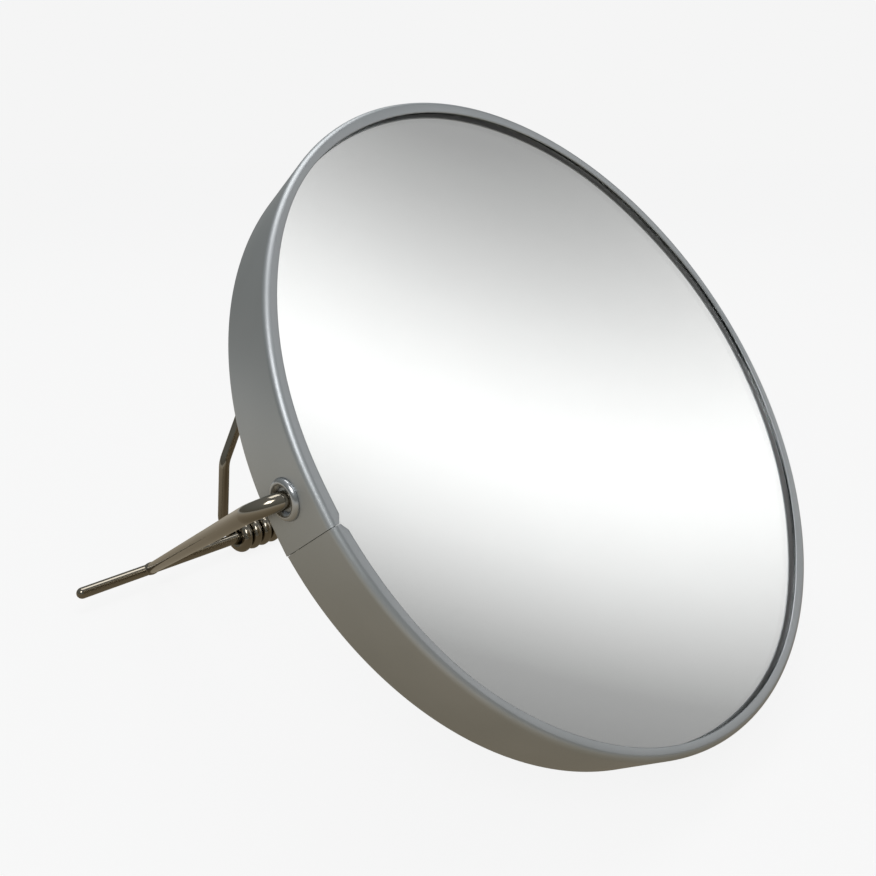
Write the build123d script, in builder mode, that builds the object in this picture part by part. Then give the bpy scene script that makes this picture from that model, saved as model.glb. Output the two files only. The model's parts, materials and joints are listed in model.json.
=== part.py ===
from build123d import *
import os
from math import cos, radians, sin, sqrt, tan

# Free-standing double-faced makeup mirror, in millimetres: a magnifying glass in front and a
# plain glass behind, held in one rolled aluminium band that turns between two wire arms.
# X runs along the pivots, +Y is behind the mirror and Z is up from the table.

# Rolled band
rim_radius = 95.0
band_width = 20.0
band_wall = 1.0
band_corner = 1.6
lip_depth = 3.4
lip_edge_round = 0.3
seam_gap = 0.3
seam_below_pivot = 6.1
mirror_lean = 36.6

# Glasses and what packs them
glass_thickness = 3.0
glass_edge_play = 0.3
glass_edge_bevel = 0.5
magnifier_curve_radius = 1200.0
card_thickness = 0.8
card_edge_play = 0.6
packing_thickness = 2.0
packing_end_play = 1.5
seat_gap = 0.05

# Pivots
wire_radius = 2.0
pivot_play = 0.07
eyelet_bore_radius = 3.15
eyelet_wall = 0.55
eyelet_flange_radius = 4.7
eyelet_height = 1.3
eyelet_round = 0.6
eyelet_clinch_radius = 4.4
eyelet_clinch_height = 0.6
eyelet_clinch_round = 0.25
eyelet_hole_play = 0.05
bush_recess = 1.7
bush_reach = 8.2
bush_flange_radius = 4.2
bush_flange_height = 1.0
pivot_plate_thickness = 1.2
pivot_plate_width = 9.6
pivot_plate_half_angle = 11.0
pivot_plate_round = 2.5

# Wire stand
elbow_reach = 7.0
elbow_bend_radius = 4.5
wire_end_reach = 1.0
wire_end_round = 0.6
foot_behind_pivot = 134.5
foot_bar_length = 176.0
foot_bar_end_round = 1.9
arm_foot_spacing = 121.0

# Folding loop, wound on the foot bar
coil_play = 0.1
coil_turns = 4
coil_pitch = 4.5
coil_inner_gap = 12.0
riser_spacing = 53.6
riser_lead_height = 9.5
riser_lean = 6.5
shoulder_height = 31.0
shoulder_lean = 28.0
shoulder_bend_radius = 12.0
crown_height = 54.0
crown_bend_radius = 13.0

# Heights and places that follow from the sizes above
lean_sin = sin(radians(mirror_lean))
lean_cos = cos(radians(mirror_lean))
corner_centre_radius = rim_radius - band_corner
corner_centre_half = band_width / 2 - band_corner
pivot_height = corner_centre_radius * lean_cos + corner_centre_half * lean_sin + band_corner
rim_reach = corner_centre_radius * lean_sin + corner_centre_half * lean_cos + band_corner
coil_radius = 2 * wire_radius + coil_play
coil_outer_radius = coil_radius + wire_radius
foot_reach = foot_behind_pivot + coil_outer_radius
pivot_y = (rim_reach - foot_reach) / 2
foot_y = pivot_y + foot_behind_pivot
foot_height = coil_outer_radius

pivot_centre = Vector(0, pivot_y, pivot_height)
face_normal = Vector(0, -lean_cos, lean_sin)
face_up = Vector(0, lean_sin, lean_cos)
disc_plane = Plane(origin=pivot_centre, x_dir=(1, 0, 0), z_dir=face_normal)
section_plane = Plane(origin=pivot_centre, x_dir=(1, 0, 0), z_dir=-face_up)
disc_axis = Axis(pivot_centre, face_normal)
pivot_axis = Axis(pivot_centre, (1, 0, 0))
foot_plane = Plane(origin=(0, foot_y, foot_height), x_dir=(0, 1, 0), z_dir=(1, 0, 0))
sides = (("left", -1), ("right", 1))

band_inner_radius = rim_radius - band_wall
inside_half = band_width / 2 - band_wall
lip_radius = rim_radius - lip_depth
glass_radius = band_inner_radius - glass_edge_play
card_radius = band_inner_radius - card_edge_play
magnifier_front = inside_half - seat_gap
magnifier_card_front = magnifier_front - glass_thickness - seat_gap
plain_front = -inside_half + seat_gap + glass_thickness
plain_card_front = plain_front + seat_gap + card_thickness
seat_radius = band_inner_radius - seat_gap
packing_inner_radius = seat_radius - packing_thickness
plate_inner_radius = seat_radius - pivot_plate_thickness
eyelet_barrel_radius = eyelet_bore_radius + eyelet_wall
eyelet_hole_radius = eyelet_barrel_radius + eyelet_hole_play
clinch_face = sqrt(plate_inner_radius**2 - eyelet_clinch_radius**2) - seat_gap
clinch_end = clinch_face - eyelet_clinch_height
eyelet_seat = rim_radius + seat_gap
eyelet_top = rim_radius + eyelet_height
bush_radius = eyelet_bore_radius - seat_gap
bush_flange_seat = clinch_end - seat_gap
bush_outer_end = eyelet_top - bush_recess
bush_inner_end = bush_outer_end - bush_reach
wire_end = bush_inner_end - wire_end_reach

os.makedirs("parts", exist_ok=True)


def curve_drop(radius):
    """How far the magnifier's curve falls from its edge plane between the edge and a radius."""
    edge = sqrt(magnifier_curve_radius**2 - glass_radius**2)
    return sqrt(magnifier_curve_radius**2 - radius**2) - edge


def side_plane(side):
    """Plane across the pivot axis, facing out on one side."""
    return Plane(origin=pivot_centre, x_dir=(0, 1, 0), z_dir=(side, 0, 0))


def pivot_section(side):
    """Plane through the pivot axis: local x runs out along the axis, local y is the radius."""
    return Plane(origin=pivot_centre, x_dir=(side, 0, 0), z_dir=face_up)


def dished_outline(front_at_edge, thickness, radius):
    """Outline of half a disc that is hollow towards the front, for the section plane."""
    front = [(r, front_at_edge - curve_drop(r)) for r in (0, radius / 2, radius)]
    back = [(r, z - thickness) for r, z in front]
    with BuildLine() as outline:
        ThreePointArc(*front)
        Line(front[2], back[2])
        ThreePointArc(*reversed(back))
        Line(back[0], front[0])
    return outline.edges()


def strap_outline(outer, thickness, start, sweep_angle):
    """Outline of a strip bowed along the inside of the band."""
    with BuildLine() as outline:
        outer_arc = CenterArc((0, 0), outer, start, sweep_angle)
        inner_arc = CenterArc((0, 0), outer - thickness, start, sweep_angle)
        Line(outer_arc @ 0, inner_arc @ 0)
        Line(outer_arc @ 1, inner_arc @ 1)
    return outline.edges()


# Rolled band: a channel section turned into a ring, butted at one seam, with a hole at each pivot
with BuildPart() as rim_band:
    with BuildSketch(section_plane) as channel:
        half_width = band_width / 2
        with BuildLine():
            Polyline(
                (lip_radius, half_width),
                (rim_radius, half_width),
                (rim_radius, -half_width),
                (lip_radius, -half_width),
                (lip_radius, -inside_half),
                (band_inner_radius, -inside_half),
                (band_inner_radius, inside_half),
                (lip_radius, inside_half),
                close=True,
            )
        make_face()
        lip_corners, inner_corners, outer_corners = channel.vertices().group_by(Axis.X)
        fillet(outer_corners, band_corner)
        fillet(inner_corners, band_corner - band_wall)
        fillet(lip_corners, lip_edge_round)
    revolve(axis=disc_axis)
    with BuildSketch(side_plane(1)):
        Circle(eyelet_hole_radius)
    extrude(amount=rim_radius + band_width, both=True, mode=Mode.SUBTRACT)
    with BuildSketch(disc_plane.offset(-band_width)):
        with BuildLine():
            seam = PolarLine((0, 0), rim_radius + band_width, 180 + seam_below_pivot)
        trace(seam, line_width=seam_gap)
    extrude(amount=2 * band_width, mode=Mode.SUBTRACT)

rim_band.part.label = "rim_band"
export_step(rim_band.part, "parts/rim_band.step")

# Magnifying glass: slumped to a shallow dish, hollow towards the front
with BuildPart() as magnifying_glass:
    with BuildSketch(section_plane) as glass_section:
        make_face(dished_outline(magnifier_front, glass_thickness, glass_radius))
        chamfer(glass_section.vertices().group_by(Axis.X)[-1], glass_edge_bevel)
    revolve(axis=disc_axis)

magnifying_glass.part.label = "magnifying_glass"
export_step(magnifying_glass.part, "parts/magnifying_glass.step")

# Plain glass: a flat disc behind
with BuildPart() as plain_glass:
    with BuildSketch(disc_plane.offset(plain_front)):
        Circle(glass_radius)
    extrude(amount=-glass_thickness)
    chamfer(plain_glass.edges(), glass_edge_bevel)

plain_glass.part.label = "plain_glass"
export_step(plain_glass.part, "parts/plain_glass.step")

# Backing cards: the one behind the magnifying glass takes its curve
with BuildPart() as magnifier_card:
    with BuildSketch(section_plane):
        make_face(dished_outline(magnifier_card_front, card_thickness, card_radius))
    revolve(axis=disc_axis)

magnifier_card.part.label = "magnifier_card"
export_step(magnifier_card.part, "parts/magnifier_card.step")

with BuildPart() as plain_card:
    with BuildSketch(disc_plane.offset(plain_card_front)):
        Circle(card_radius)
    extrude(amount=-card_thickness)

plain_card.part.label = "plain_card"
export_step(plain_card.part, "parts/plain_card.step")

# Packing strips: two bowed board strips that hold the glasses against the lips, one above the
# pivots and one below
plate_end_angle = pivot_plate_half_angle + packing_end_play
packing_low = plain_card_front + seat_gap
packing_high = magnifier_card_front - curve_drop(packing_inner_radius) - card_thickness - seat_gap
packing_angle = 180 - 2 * plate_end_angle
for place, start in (("upper", plate_end_angle), ("lower", 180 + plate_end_angle)):
    with BuildPart() as packing_strip:
        with BuildSketch(disc_plane.offset(packing_low)):
            make_face(strap_outline(seat_radius, packing_thickness, start, packing_angle))
        extrude(amount=packing_high - packing_low)
    packing_strip.part.label = "packing_strip_" + place
    export_step(packing_strip.part, f"parts/packing_strip_{place}.step")

# Pivot plates: stiffen the band behind each eyelet, and the left one bridges the seam
for name, side in sides:
    with BuildPart() as pivot_plate:
        start = (90 - 90 * side) - pivot_plate_half_angle
        with BuildSketch(disc_plane.offset(-pivot_plate_width / 2)):
            make_face(strap_outline(seat_radius, pivot_plate_thickness, start, 2 * pivot_plate_half_angle))
        extrude(amount=pivot_plate_width)
        end_corners = pivot_plate.edges().filter_by(GeomType.LINE).filter_by(
            lambda edge: abs(edge.length - pivot_plate_thickness) < seat_gap
        )
        fillet(end_corners, pivot_plate_round)
        with BuildSketch(side_plane(side)):
            Circle(eyelet_hole_radius)
        extrude(amount=rim_radius + band_width, mode=Mode.SUBTRACT)
    pivot_plate.part.label = "pivot_plate_" + name
    export_step(pivot_plate.part, f"parts/pivot_plate_{name}.step")

# Eyelets: the round collars that show on the band, clinched over the plates inside
for name, side in sides:
    with BuildPart() as eyelet:
        with BuildSketch(pivot_section(side)) as eyelet_section:
            with BuildLine():
                Polyline(
                    (clinch_end, eyelet_bore_radius),
                    (clinch_end, eyelet_clinch_radius),
                    (clinch_face, eyelet_clinch_radius),
                    (clinch_face, eyelet_barrel_radius),
                    (eyelet_seat, eyelet_barrel_radius),
                    (eyelet_seat, eyelet_flange_radius),
                    (eyelet_top, eyelet_flange_radius),
                    (eyelet_top, eyelet_bore_radius),
                    close=True,
                )
            make_face()
            fillet(eyelet_section.vertices().group_by(Axis.X)[-1], eyelet_round)
            fillet(eyelet_section.vertices().group_by(Axis.X)[0], eyelet_clinch_round)
        revolve(axis=pivot_axis)
    eyelet.part.label = "pivot_eyelet_" + name
    export_step(eyelet.part, f"parts/pivot_eyelet_{name}.step")

# Bushes: dark nylon bearings set deep in the eyelets, where the wire ends turn
for name, side in sides:
    with BuildPart() as bush:
        with BuildSketch(pivot_section(side)):
            with BuildLine():
                Polyline(
                    (bush_inner_end, wire_radius + pivot_play),
                    (bush_inner_end, bush_radius),
                    (bush_flange_seat - bush_flange_height, bush_radius),
                    (bush_flange_seat - bush_flange_height, bush_flange_radius),
                    (bush_flange_seat, bush_flange_radius),
                    (bush_flange_seat, bush_radius),
                    (bush_outer_end, bush_radius),
                    (bush_outer_end, wire_radius + pivot_play),
                    close=True,
                )
            make_face()
        revolve(axis=pivot_axis)
    bush.part.label = "pivot_bush_" + name
    export_step(bush.part, f"parts/pivot_bush_{name}.step")

# Stand arms: straight chromed wires, bent inward at the top and welded to the foot bar
elbow_x = rim_radius + elbow_reach
for name, side in sides:
    with BuildPart() as arm:
        with BuildLine() as arm_route:
            FilletPolyline(
                (side * wire_end, pivot_y, pivot_height),
                (side * elbow_x, pivot_y, pivot_height),
                (side * arm_foot_spacing / 2, foot_y, foot_height),
                radius=elbow_bend_radius,
            )
        with BuildSketch(Plane(origin=arm_route.line @ 0, z_dir=arm_route.line % 0)):
            Circle(wire_radius)
        sweep()
        inner_end = arm.faces().sort_by(Axis.X)[0 if side > 0 else -1]
        chamfer(inner_end.edges(), wire_end_round)
        with BuildSketch(foot_plane):
            Circle(wire_radius)
        extrude(amount=foot_bar_length / 2, both=True, mode=Mode.SUBTRACT)
    arm.part.label = "stand_arm_" + name
    export_step(arm.part, f"parts/stand_arm_{name}.step")

# Foot bar: a straight wire with rounded ends
with BuildPart() as foot_bar:
    with BuildSketch(foot_plane):
        Circle(wire_radius)
    extrude(amount=foot_bar_length / 2, both=True)
    fillet(foot_bar.edges().filter_by(GeomType.CIRCLE), foot_bar_end_round)

foot_bar.part.label = "foot_bar"
export_step(foot_bar.part, "parts/foot_bar.step")

# Hanging loop: one wire, wound round the foot bar at each side and bent to a narrow crown
coil_length = coil_turns * coil_pitch
coil_outer_end = coil_inner_gap / 2 + coil_length
riser_out = riser_spacing / 2
shoulder_out = riser_out - (shoulder_height - riser_lead_height) * tan(radians(riser_lean))
crown_out = shoulder_out - (crown_height - shoulder_height) * tan(radians(shoulder_lean))
loop_plane = foot_plane.offset(-coil_outer_end)
back_y = foot_y + coil_radius
with BuildPart() as hanging_loop:
    with BuildLine() as loop_route:
        turns = loop_plane.location * Helix(
            coil_pitch, coil_length, coil_radius, lefthand=True, mode=Mode.PRIVATE
        )
        add(turns)
        bends = FilletPolyline(
            (0, back_y, foot_height + crown_height),
            (-crown_out, back_y, foot_height + crown_height),
            (-shoulder_out, back_y, foot_height + shoulder_height),
            (-riser_out, back_y, foot_height + riser_lead_height),
            radius=(crown_bend_radius, shoulder_bend_radius),
        )
        Spline(bends @ 1, turns @ 0, tangents=(bends % 1, turns % 0))
    with BuildSketch(Plane(origin=bends @ 0, z_dir=bends % 0)):
        Circle(wire_radius)
    sweep(path=Wire(loop_route.edges()))
    flat_faces = hanging_loop.faces().filter_by(GeomType.PLANE)
    coil_end = flat_faces.filter_by(lambda face: abs(face.center().X) > wire_radius)
    chamfer(coil_end.edges(), wire_end_round)
    mirror(about=Plane.YZ)

hanging_loop.part.label = "hanging_loop"
export_step(hanging_loop.part, "parts/hanging_loop.step")
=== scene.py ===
import json
from math import atan2, cos, hypot, pi, radians, sin, sqrt, tan

import bmesh
import bpy
from mathutils import Matrix, Vector


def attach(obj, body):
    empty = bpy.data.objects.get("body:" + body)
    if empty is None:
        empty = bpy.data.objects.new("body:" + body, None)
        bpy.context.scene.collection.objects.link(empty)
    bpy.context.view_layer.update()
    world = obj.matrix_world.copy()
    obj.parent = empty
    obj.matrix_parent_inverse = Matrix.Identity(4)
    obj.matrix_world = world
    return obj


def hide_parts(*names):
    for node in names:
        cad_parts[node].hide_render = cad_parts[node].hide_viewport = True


# Double-faced makeup mirror on a wire stand. Lengths are in metres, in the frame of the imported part.

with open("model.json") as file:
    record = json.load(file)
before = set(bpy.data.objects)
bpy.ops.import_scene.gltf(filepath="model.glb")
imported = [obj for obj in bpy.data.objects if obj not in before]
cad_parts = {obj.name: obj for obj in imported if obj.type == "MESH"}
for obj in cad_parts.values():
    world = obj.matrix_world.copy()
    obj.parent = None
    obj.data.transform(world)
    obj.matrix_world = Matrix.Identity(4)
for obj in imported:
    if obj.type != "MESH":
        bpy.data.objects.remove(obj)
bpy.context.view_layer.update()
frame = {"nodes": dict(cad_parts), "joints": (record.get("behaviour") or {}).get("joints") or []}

MM = 0.001
pivot = Vector(frame["joints"][0]["pos_m"])
foot = Vector(frame["joints"][1]["pos_m"])

# Rolled band
lean = radians(36.6)
rim_radius = 95 * MM
band_half = 10 * MM
band_wall = 1 * MM
band_corner = 1.6 * MM
lip_depth = 3.4 * MM
lip_edge_round = 0.3 * MM
lip_fall = 0.45 * MM
seam_gap = 0.12 * MM
seam_angle = radians(180 + 6.1)
lip_wave = 0.28 * MM
seam_step = 0.22 * MM
seam_step_reach = radians(5)
seam_notch = 1.1 * MM

# Glasses
glass_radius = 93.7 * MM
glass_thickness = 2.2 * MM
glass_bevel = 0.5 * MM
lip_clearance = 0.05 * MM
glass_front = band_half - band_wall - lip_clearance
curve_radius = 1200 * MM
silver_gap = 0.01 * MM
silver_thickness = 0.02 * MM

# Wires: elbow_out is where the pivot's line and the arm's line cross
wire_radius = 2 * MM
wire_sides = 40
wire_end = 85.4 * MM
elbow_out = 102.4 * MM
elbow_bend = 6.2 * MM
elbow_steps = 28
arm_foot_reach = 60.5 * MM
weld_radius = 2.35 * MM
weld_stretch = 1.35
weld_rise = 0.8 * MM
bar_reach = 86 * MM

round_steps = 320
radial_steps = 24
sharp_angle = radians(32)
soft_angle = radians(60)
disc = Matrix.Translation(pivot) @ Matrix.Rotation(pi / 2 - lean, 4, "X")


def add_piece(name, mesh, body, slot, *nodes):
    """Put a finished mesh in the scene on its body, standing for the CAD nodes named."""
    piece = bpy.data.objects.new(name, mesh)
    bpy.context.scene.collection.objects.link(piece)
    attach(piece, body)
    if nodes:
        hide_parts(*nodes)
    return piece


def finish_mesh(shape, name, sharp=sharp_angle):
    """Turn a bmesh into a mesh whose edges are sharp past an angle."""
    bmesh.ops.remove_doubles(shape, verts=shape.verts, dist=1e-7)
    bmesh.ops.recalc_face_normals(shape, faces=shape.faces)
    for face in shape.faces:
        face.smooth = True
    for edge in shape.edges:
        edge.smooth = len(edge.link_faces) == 2 and edge.calc_face_angle(0) < sharp
    mesh = bpy.data.meshes.new(name)
    shape.to_mesh(mesh)
    shape.free()
    return mesh


def profile_face(shape, outline):
    """One face in the local XZ plane from a list of (radius, height) points."""
    return shape.faces.new([shape.verts.new((r, 0, z)) for r, z in outline])


def arc(centre, radius, start, end, steps):
    """Points of a circular arc in the profile plane, angles in degrees."""
    turns = [radians(start + (end - start) * i / steps) for i in range(steps + 1)]
    return [(centre[0] + radius * cos(a), centre[1] + radius * sin(a)) for a in turns]


def revolve(outline, name, place, sharp=sharp_angle):
    """A full turn of a profile round the local Z axis."""
    shape = bmesh.new()
    face = profile_face(shape, outline)
    ring = face.edges[:]
    bmesh.ops.delete(shape, geom=[face], context="FACES_ONLY")
    bmesh.ops.spin(
        shape, geom=ring + shape.verts[:], cent=(0, 0, 0), axis=(0, 0, 1),
        angle=2 * pi, steps=round_steps, use_merge=True,
    )
    bmesh.ops.transform(shape, matrix=place, verts=shape.verts)
    return finish_mesh(shape, name, sharp)


def curve_drop(radius):
    """How far the magnifier's curve lies below its rim at a radius."""
    return sqrt(curve_radius**2 - radius**2) - sqrt(curve_radius**2 - glass_radius**2)


def make_band():
    """The channel's profile, spun from one side of the seam to the other."""
    lip = rim_radius - lip_depth
    inner = rim_radius - band_wall
    inside = band_half - band_wall
    corner = rim_radius - band_corner
    bend = band_half - band_corner
    tip = lip + lip_edge_round
    fold = band_corner - band_wall
    lip_edge = (band_wall - lip_fall) / 2
    front = [
        (tip, band_half - lip_fall), (corner, band_half),
        *arc((corner, bend), band_corner, 90, 0, 10)[1:],
    ]
    throat = [
        *arc((inner - fold, inside - fold), fold, 0, 90, 5),
        (tip, inside),
        *arc((tip, inside + lip_edge), lip_edge, 270, 90, 8)[1:-1],
    ]
    outline = front + [(r, -z) for r, z in reversed(front)]
    outline += [(r, -z) for r, z in reversed(throat)] + throat
    shape = bmesh.new()
    face = profile_face(shape, outline)
    gap_angle = seam_gap / rim_radius
    bmesh.ops.rotate(
        shape, verts=shape.verts, cent=(0, 0, 0),
        matrix=Matrix.Rotation(seam_angle + gap_angle / 2, 3, "Z"),
    )
    bmesh.ops.spin(
        shape, geom=[face] + face.edges[:] + face.verts[:], cent=(0, 0, 0), axis=(0, 0, 1),
        angle=2 * pi - gap_angle, steps=round_steps, use_merge=False,
    )
    for vert in shape.verts:
        radius = hypot(vert.co.x, vert.co.y)
        angle = atan2(vert.co.y, vert.co.x)
        past = (angle - seam_angle) % (2 * pi)
        before = 2 * pi - past
        share = max(0, (corner - radius) / (corner - lip))
        wave = lip_wave * (sin(3 * angle + 0.8) + 0.7 * sin(5 * angle + 2.1) + 0.5 * sin(9 * angle))
        lift = seam_step * max(0, 1 - before / seam_step_reach)**2
        nick = 0
        if vert.co.z > inside - MM:
            nick = seam_notch * max(0, 1 - min(past, before) * radius / seam_notch)
        scale = (radius + share * (wave + nick) + lift) / radius
        vert.co.x *= scale
        vert.co.y *= scale
    bmesh.ops.transform(shape, matrix=disc, verts=shape.verts)
    return finish_mesh(shape, "rolled_band")


def section_radii():
    """Radii from the centre of a glass to the start of its bevel."""
    steps = [glass_radius * i / radial_steps for i in range(radial_steps)]
    return steps + [glass_radius - glass_bevel]


def glass_outline(face_height):
    """Half section of a glass with bevelled edges, from its front surface's height at a radius."""
    front = [(r, face_height(r)) for r in section_radii()]
    back = [(r, z - glass_thickness) for r, z in front]
    edge_front = (glass_radius, face_height(glass_radius) - glass_bevel)
    edge_back = (glass_radius, face_height(glass_radius) - glass_thickness + glass_bevel)
    return front + [edge_front, edge_back] + back[::-1]


def silver_outline(back_height):
    """Half section of the silvering that coats a glass's back."""
    top = [(r, back_height(r) - silver_gap) for r in section_radii()]
    return top + [(r, z - silver_thickness) for r, z in reversed(top)]


def magnifier_height(radius):
    return glass_front - curve_drop(radius)


def flat_height(radius):
    return glass_front


facing_back = disc @ Matrix.Rotation(pi, 4, "X")
band = add_piece("rolled_band", make_band(), "mirror", "band_aluminium", "rim_band")
magnifier = add_piece(
    "magnifier_glass", revolve(glass_outline(magnifier_height), "magnifier_glass", disc),
    "mirror", "mirror_glass", "magnifying_glass",
)
magnifier_silver = add_piece(
    "magnifier_silvering",
    revolve(silver_outline(lambda r: magnifier_height(r) - glass_thickness), "magnifier_silvering", disc),
    "mirror", "mirror_glass",
)
rear_glass = add_piece(
    "rear_glass", revolve(glass_outline(flat_height), "rear_glass", facing_back),
    "mirror", "mirror_glass", "plain_glass",
)
rear_silver = add_piece(
    "rear_silvering",
    revolve(silver_outline(lambda r: flat_height(r) - glass_thickness), "rear_silvering", facing_back),
    "mirror", "mirror_glass",
)


# Collars: soft rings that funnel down to the wire, as (radius, distance from the pivots' middle) in mm
collar_profile = [
    (4.70, 95.02), (4.66, 95.30), (4.50, 95.62), (4.24, 95.90), (3.92, 96.06), (3.60, 96.08),
    (3.28, 95.94), (2.98, 95.66), (2.72, 95.28), (2.52, 94.90), (2.45, 94.70), (3.70, 94.70),
]
across = {"left": Matrix.Rotation(-pi / 2, 4, "Y"), "right": Matrix.Rotation(pi / 2, 4, "Y")}
collars = []
for side, way_out in across.items():
    outline = [(r * MM, z * MM) for r, z in collar_profile]
    mesh = revolve(outline, "collar_" + side, Matrix.Translation(pivot) @ way_out, soft_angle)
    collars.append(
        add_piece("collar_" + side, mesh, "mirror", "eyelet_aluminium", "pivot_eyelet_" + side)
    )


def bent_wire(name, start, corner, end, bend):
    """A round wire from start to end with one bend near the corner."""
    first = (corner - start).normalized()
    last = (end - corner).normalized()
    turn = first.angle(last)
    reach = bend * tan(turn / 2)
    axis = first.cross(last).normalized()
    shape = bmesh.new()
    bmesh.ops.create_circle(
        shape, segments=wire_sides, radius=wire_radius,
        matrix=Matrix.Translation(start) @ first.to_track_quat("Z", "Y").to_matrix().to_4x4(),
    )

    def run(edges, step):
        """Draw a ring of edges straight on, and return the new ring's edges."""
        made = bmesh.ops.extrude_edge_only(shape, edges=edges)["geom"]
        ring = [thing for thing in made if isinstance(thing, bmesh.types.BMVert)]
        bmesh.ops.translate(shape, verts=ring, vec=step)
        return [
            edge for edge in made
            if isinstance(edge, bmesh.types.BMEdge) and all(vert in ring for vert in edge.verts)
        ]

    edges = run(shape.edges[:], corner - first * reach - start)
    ring = list({vert for edge in edges for vert in edge.verts})
    centre = corner - first * reach + axis.cross(first) * bend
    made = bmesh.ops.spin(
        shape, geom=edges + ring, cent=centre, axis=axis, angle=turn, steps=elbow_steps
    )["geom_last"]
    edges = [thing for thing in made if isinstance(thing, bmesh.types.BMEdge)]
    run(edges, end - corner - last * reach)
    open_edges = [edge for edge in shape.edges if len(edge.link_faces) == 1]
    bmesh.ops.holes_fill(shape, edges=open_edges)
    return finish_mesh(shape, name)


# Stand arms, and the welds that join them to the foot bar
wires = []
for side, sign in (("left", -1), ("right", 1)):
    start = pivot + Vector((sign * wire_end, 0, 0))
    corner = pivot + Vector((sign * elbow_out, 0, 0))
    joint = Vector((sign * arm_foot_reach, foot.y, foot.z))
    mesh = bent_wire("arm_" + side, start, corner, joint, elbow_bend)
    wires.append(add_piece("arm_" + side, mesh, "stand", "wire_chrome", "stand_arm_" + side))
    shape = bmesh.new()
    bmesh.ops.create_icosphere(shape, subdivisions=5, radius=weld_radius)
    bmesh.ops.scale(shape, vec=(weld_stretch, 1, 1), verts=shape.verts)
    centre = joint + (corner - joint).normalized() * weld_rise
    bmesh.ops.translate(shape, vec=centre, verts=shape.verts)
    wires.append(add_piece("weld_" + side, finish_mesh(shape, "weld_" + side), "stand", "wire_chrome"))

# Foot bar: a straight round rod with domed ends
shape = bmesh.new()
bmesh.ops.create_uvsphere(shape, u_segments=wire_sides, v_segments=21, radius=wire_radius)
for sign in (-1, 1):
    half = [vert for vert in shape.verts if vert.co.z * sign > 0]
    bmesh.ops.translate(shape, verts=half, vec=(0, 0, sign * bar_reach))
lying = Matrix.Translation((0, foot.y, foot.z)) @ Matrix.Rotation(pi / 2, 4, "Y")
bmesh.ops.transform(shape, matrix=lying, verts=shape.verts)
mesh = finish_mesh(shape, "straight_bar")
wires.append(add_piece("straight_bar", mesh, "stand", "wire_chrome", "foot_bar"))


class Sock:
    """A shader socket that Python's operators work on."""

    def __init__(self, tree, link):
        self.tree = tree
        self.link = link

    def math(self, operation, *others):
        return self.tree.node("ShaderNodeMath", {"operation": operation}, (self,) + others)

    def __add__(self, other):
        return self.math("ADD", other)

    def __sub__(self, other):
        return self.math("SUBTRACT", other)

    def __mul__(self, other):
        return self.math("MULTIPLY", other)

    def __truediv__(self, other):
        return self.math("DIVIDE", other)

    __radd__ = __add__
    __rmul__ = __mul__

    def most(self, other):
        return self.math("MAXIMUM", other)

    def ramp(self, low, high):
        """0 below low, 1 above high, smooth between."""
        settings = {"interpolation_type": "SMOOTHSTEP", "clamp": True}
        return self.tree.node("ShaderNodeMapRange", settings, (self, low, high, 0.0, 1.0))


class Tree:
    """A node tree with one method that makes every kind of node."""

    def __init__(self, owner):
        owner.use_nodes = True
        self.nodes = owner.node_tree.nodes
        self.links = owner.node_tree.links
        self.nodes.clear()

    def node(self, kind, settings, inputs=(), output=0):
        made = self.nodes.new(kind)
        for key, value in settings.items():
            if key == "stops":
                while len(made.color_ramp.elements) < len(value):
                    made.color_ramp.elements.new(1)
                for stop, (place, colour) in zip(made.color_ramp.elements, value):
                    stop.position = place
                    stop.color = (*colour, 1)
            else:
                setattr(made, key, value)
        pairs = inputs.items() if isinstance(inputs, dict) else enumerate(inputs)
        for key, value in pairs:
            if isinstance(value, Sock):
                self.links.new(value.link, made.inputs[key])
            elif isinstance(value, tuple) and len(value) == 3 and made.inputs[key].type == "RGBA":
                made.inputs[key].default_value = (*value, 1)
            else:
                made.inputs[key].default_value = value
        return Sock(self, made.outputs[output]) if made.outputs else None

    def place(self):
        return self.node("ShaderNodeTexCoord", {}, (), "Object")

    def noise(self, where, scale, detail=3.0, rough=0.5):
        return self.node(
            "ShaderNodeTexNoise", {},
            {"Vector": where, "Scale": scale, "Detail": detail, "Roughness": rough}, "Fac",
        )

    def stretch(self, where, size):
        return self.node("ShaderNodeMapping", {}, {"Vector": where, "Scale": size})

    def mix(self, share, low, high):
        return self.node(
            "ShaderNodeMix", {"data_type": "RGBA"}, {0: share, 6: low, 7: high}, 2
        )

    def bump(self, height, strength, distance):
        return self.node(
            "ShaderNodeBump", {}, {"Height": height, "Strength": strength, "Distance": distance}
        )

    def surface(self, **values):
        shader = self.node(
            "ShaderNodeBsdfPrincipled", {}, {k.replace("_", " "): v for k, v in values.items()}
        )
        self.node("ShaderNodeOutputMaterial", {}, {"Surface": shader})
        return shader


def material(name):
    made = bpy.data.materials.new(name)
    return made, Tree(made)


def stage_thing(shape, name):
    """Turn a bmesh into a thing of the studio."""
    mesh = bpy.data.meshes.new(name)
    shape.to_mesh(mesh)
    shape.free()
    thing = bpy.data.objects.new(name, mesh)
    bpy.context.scene.collection.objects.link(thing)
    return thing


def dress(finish, *pieces):
    """Give a finish to pieces: objects of this script or names of CAD nodes."""
    for piece in pieces:
        target = frame["nodes"][piece] if isinstance(piece, str) else piece
        target.data.materials.clear()
        target.data.materials.append(finish)
        for face in target.data.polygons:
            face.material_index = 0


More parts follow.
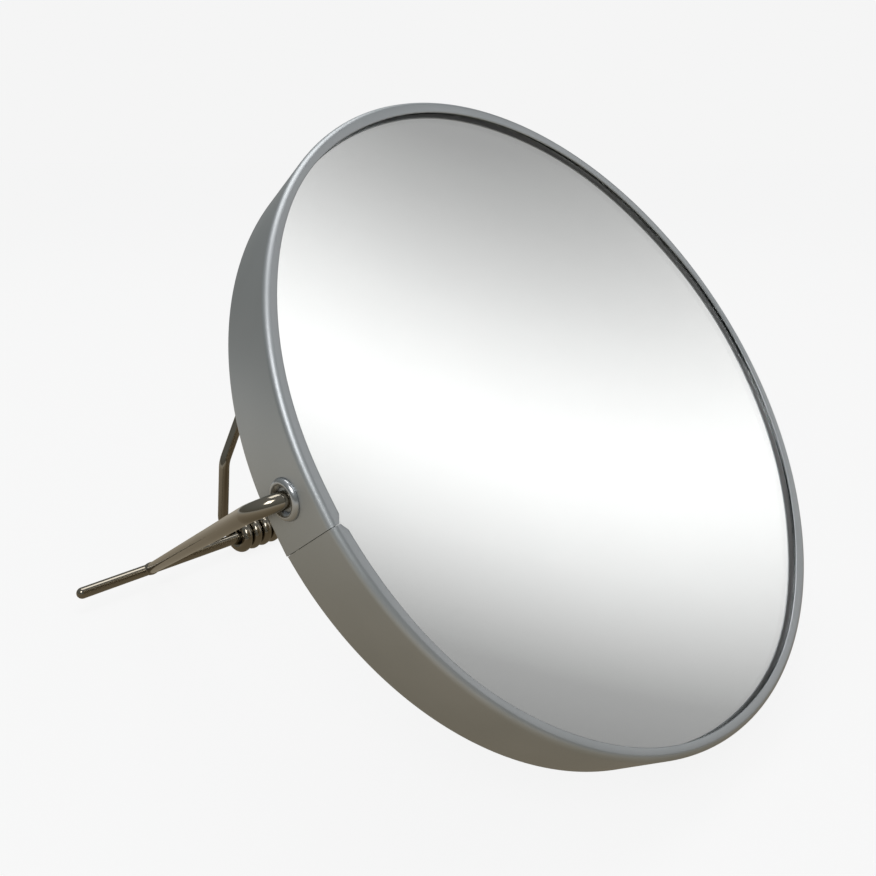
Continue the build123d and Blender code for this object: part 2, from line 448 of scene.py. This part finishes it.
def satin_aluminium():
    finish, tree = material("satin_aluminium")
    where = tree.place()
    cloud = tree.noise(where, 26.0, 3.0)
    grain = tree.noise(where, 2400.0, 2.0)
    streak = tree.noise(tree.stretch(where, (1.0, 9.0, 7.0)), 160.0, 4.0, 0.6)
    tone = tree.mix(cloud.ramp(0.3, 0.7), (0.49, 0.515, 0.53), (0.54, 0.56, 0.575))
    tree.surface(
        Base_Color=tone, Metallic=1.0,
        Roughness=0.41 + 0.06 * streak + 0.05 * cloud,
        Normal=tree.bump(grain + 0.6 * streak, 0.16, 0.00005),
    )
    return finish


def bright_chrome():
    finish, tree = material("bright_chrome")
    where = tree.place()
    cloud = tree.noise(where, 120.0, 3.0)
    speck = tree.noise(where, 900.0, 2.0).ramp(0.68, 0.78)
    tone = tree.mix(cloud, (0.26, 0.235, 0.19), (0.32, 0.29, 0.24))
    tree.surface(
        Base_Color=tree.mix(speck * 0.3, tone, (0.30, 0.27, 0.22)), Metallic=1.0,
        Roughness=0.08 + 0.07 * cloud + 0.03 * speck,
        Normal=tree.bump(cloud, 0.03, 0.00005),
    )
    return finish


def polished_collar():
    finish, tree = material("polished_collar")
    where = tree.place()
    cloud = tree.noise(where, 300.0, 3.0)
    tree.surface(
        Base_Color=tree.mix(cloud, (0.46, 0.475, 0.49), (0.54, 0.555, 0.57)), Metallic=1.0,
        Roughness=0.18 + 0.12 * cloud, Normal=tree.bump(cloud, 0.08, 0.0001),
    )
    return finish


def clear_glass():
    finish, tree = material("clear_glass")
    where = tree.place()
    dust = tree.noise(where, 700.0, 2.0).ramp(0.72, 0.80)
    tree.surface(
        Base_Color=(0.985, 0.988, 0.986), Roughness=0.004 * dust, IOR=1.5,
        Transmission_Weight=1.0,
    )
    return finish


def silvering():
    finish, tree = material("silvering")
    where = tree.place()
    cloud = tree.noise(where, 40.0, 2.0)
    tree.surface(
        Base_Color=tree.mix(cloud, (0.93, 0.935, 0.93), (0.95, 0.955, 0.95)),
        Metallic=1.0, Roughness=0.004 * cloud,
    )
    return finish


def grey_board():
    finish, tree = material("grey_board")
    where = tree.place()
    fibre = tree.noise(tree.stretch(where, (1.0, 3.0, 1.0)), 700.0, 5.0, 0.7)
    tree.surface(
        Base_Color=tree.mix(fibre, (0.34, 0.31, 0.27), (0.50, 0.47, 0.42)),
        Roughness=0.85 + 0.1 * fibre, Normal=tree.bump(fibre, 0.3, 0.0001),
    )
    return finish


def zinc_plate():
    finish, tree = material("zinc_plate")
    where = tree.place()
    spangle = tree.node("ShaderNodeTexVoronoi", {}, {"Vector": where, "Scale": 350.0}, "Distance")
    tree.surface(
        Base_Color=tree.mix(spangle, (0.26, 0.265, 0.275), (0.34, 0.345, 0.36)),
        Metallic=1.0, Roughness=0.35 + 0.15 * spangle,
    )
    return finish


def dark_nylon():
    finish, tree = material("dark_nylon")
    where = tree.place()
    grain = tree.noise(where, 1500.0, 3.0)
    tree.surface(
        Base_Color=tree.mix(grain, (0.012, 0.012, 0.013), (0.03, 0.03, 0.032)),
        Roughness=0.42 + 0.15 * grain, Normal=tree.bump(grain, 0.15, 0.00005),
    )
    return finish


dress(satin_aluminium(), band)
dress(clear_glass(), magnifier, rear_glass)
dress(silvering(), magnifier_silver, rear_silver)
dress(bright_chrome(), *wires, "hanging_loop")
dress(polished_collar(), *collars)
dress(dark_nylon(), "pivot_bush_left", "pivot_bush_right")
dress(zinc_plate(), "pivot_plate_left", "pivot_plate_right")
dress(grey_board(), "magnifier_card", "plain_card", "packing_strip_upper", "packing_strip_lower")

# Camera
camera_from_pivot = Vector((-189.6, -134.1, 66.0)) * MM
camera_azimuth = radians(46.16)
camera_pitch = radians(18.12)
camera_roll = radians(0.08)
camera_lens = 34.93
sensor_width = 36
nearest_seen = 10 * MM
camera_data = bpy.data.cameras.new("camera")
camera_data.lens = camera_lens
camera_data.sensor_width = sensor_width
camera_data.clip_start = nearest_seen
camera = bpy.data.objects.new("camera", camera_data)
bpy.context.scene.collection.objects.link(camera)
turn = Matrix.Rotation(-camera_azimuth, 4, "Z") @ Matrix.Rotation(pi / 2 - camera_pitch, 4, "X")
camera.matrix_world = (
    Matrix.Translation(pivot + camera_from_pivot) @ turn @ Matrix.Rotation(camera_roll, 4, "Z")
)
bpy.context.scene.camera = camera

# Studio
pale = (0.913, 0.913, 0.913)
fill_colour = (0.80, 0.82, 0.85)
fill_strength = 0.55
floor_glow = 1.04
floor_glow_share = 0.93
floor_colour = (0.9, 0.9, 0.89)
room = bpy.data.worlds.new("studio")
bpy.context.scene.world = room
tree = Tree(room)


def background_share(tree):
    """1 for rays from the camera, off metal or through glass."""
    rays = [
        tree.node("ShaderNodeLightPath", {}, (), name)
        for name in ("Is Camera Ray", "Is Glossy Ray", "Is Transmission Ray")
    ]
    return rays[0].most(rays[1]).most(rays[2])


seen = background_share(tree)
backdrop = tree.node("ShaderNodeBackground", {}, {"Color": pale, "Strength": 1.0})
fill = tree.node("ShaderNodeBackground", {}, {"Color": fill_colour, "Strength": fill_strength})
tree.node(
    "ShaderNodeOutputWorld", {},
    {"Surface": tree.node("ShaderNodeMixShader", {}, (seen, fill, backdrop))},
)

floor_size = 120.0
shape = bmesh.new()
bmesh.ops.create_grid(shape, x_segments=1, y_segments=1, size=floor_size / 2)
floor = stage_thing(shape, "floor")
finish, tree = material("pale_floor")
glow = tree.node("ShaderNodeEmission", {}, {"Color": pale, "Strength": floor_glow})
matt = tree.node("ShaderNodeBsdfDiffuse", {}, {"Color": floor_colour})
glow_share = background_share(tree) * floor_glow_share
tree.node(
    "ShaderNodeOutputMaterial", {},
    {"Surface": tree.node("ShaderNodeMixShader", {}, (glow_share, matt, glow))},
)
floor.data.materials.append(finish)


def mirrored_only(thing, name, shade, strength):
    """Light a thing of the studio, so that it shows in metal and glass alone."""
    thing.visible_camera = False
    thing.visible_diffuse = False
    thing.visible_shadow = False
    finish, tree = material(name)
    glow = tree.node("ShaderNodeEmission", {}, {"Color": shade(tree), "Strength": strength})
    tree.node("ShaderNodeOutputMaterial", {}, {"Surface": glow})
    thing.data.materials.append(finish)


# Graded screen: the soft bright band that lies across the mirror
screen_distance = 1.3
screen_width = 1.1
screen_slide = -0.1
screen_height = 1.2
screen_turn = radians(82)
screen_shift = 0.08
screen_strength = 1.2
mirrored_way = Vector((0.686, -0.487, 0.540)).normalized()
screen_steps = (
    (0.0, 0.96), (0.04, 0.925), (0.075, 0.855), (0.115, 0.76), (0.145, 0.665), (0.208, 0.47),
    (0.255, 0.335), (0.32, 0.27), (0.55, 0.21),
)


def screen_shade(tree):
    across = tree.node("ShaderNodeSeparateXYZ", {}, (tree.place(),), "Y")
    far = (across - screen_shift).math("ABSOLUTE")
    stops = [(reach, (level, level, level)) for reach, level in screen_steps]
    return tree.node("ShaderNodeValToRGB", {"stops": stops}, (far,))


shape = bmesh.new()
bmesh.ops.create_grid(shape, x_segments=1, y_segments=1, size=0.5)
bmesh.ops.scale(shape, vec=(screen_width, screen_height, 1), verts=shape.verts)
screen = stage_thing(shape, "graded_screen")
screen.matrix_world = (
    Matrix.Translation(pivot + mirrored_way * screen_distance)
    @ (-mirrored_way).to_track_quat("Z", "Y").to_matrix().to_4x4()
    @ Matrix.Rotation(screen_turn, 4, "Z")
    @ Matrix.Translation((screen_slide, 0, 0))
)
mirrored_only(screen, "graded_screen", screen_shade, screen_strength)

# Room: a dim table and walls, which the metal mirrors. The table has a painted shadow: it is dark near
# the middle, where the mirror stands.
room_radius = 2.8
room_strength = 1.0
wall_foot = (0.001, 0.01)
table_lift = 0.2 * MM
# The first two table stops are painted shadow. The table darkens toward the middle, under the mirror, so
# the band's underside mirrors shade.
table_stops_with_painted_shadow = [
    (0.0, (0.15, 0.115, 0.072)), (0.05, (0.31, 0.27, 0.205)), (0.12, (0.54, 0.50, 0.43)),
    (0.36, (0.60, 0.625, 0.635)), (1.0, (0.26, 0.265, 0.25)),
]
wall_stops = [
    (0.0, (0.17, 0.155, 0.13)), (0.10, (0.20, 0.20, 0.185)), (0.35, (0.24, 0.255, 0.25)),
    (1.0, (0.34, 0.35, 0.36)),
]


def room_shade(tree):
    where = tree.place()
    height = tree.node("ShaderNodeSeparateXYZ", {}, (where,), "Z")
    reach = tree.node("ShaderNodeVectorMath", {"operation": "LENGTH"}, (where,), "Value")
    walls = tree.node("ShaderNodeValToRGB", {"stops": wall_stops}, (height / room_radius,))
    # Table tone by distance from the middle, with the painted shadow at the centre.
    shadowed_table = tree.node("ShaderNodeValToRGB", {"stops": table_stops_with_painted_shadow}, (reach / room_radius,))
    return tree.mix(height.ramp(*wall_foot), shadowed_table, walls)


shape = bmesh.new()
bmesh.ops.create_uvsphere(shape, u_segments=48, v_segments=32, radius=room_radius)
everything = shape.verts[:] + shape.edges[:] + shape.faces[:]
cut = bmesh.ops.bisect_plane(
    shape, geom=everything, plane_co=(0, 0, table_lift), plane_no=(0, 0, 1), clear_inner=True
)
rim = [edge for edge in cut["geom_cut"] if isinstance(edge, bmesh.types.BMEdge)]
bmesh.ops.contextual_create(shape, geom=rim)
mirrored_only(stage_thing(shape, "dim_room"), "dim_room", room_shade, room_strength)


def area_light(name, place, aim, size, power):
    lamp = bpy.data.lights.new(name, "AREA")
    lamp.shape = "RECTANGLE"
    lamp.size, lamp.size_y = size
    lamp.energy = power
    holder = bpy.data.objects.new(name, lamp)
    bpy.context.scene.collection.objects.link(holder)
    facing = (Vector(aim) - Vector(place)).to_track_quat("-Z", "Y").to_matrix().to_4x4()
    holder.matrix_world = Matrix.Translation(place) @ facing


area_light("key_light", (-0.9, -0.5, 1.2), pivot, (0.6, 0.6), 6.5)
area_light("top_light", (0.2, 0.4, 1.4), pivot, (0.9, 0.7), 5.0)

bpy.context.scene.view_settings.view_transform = "Standard"
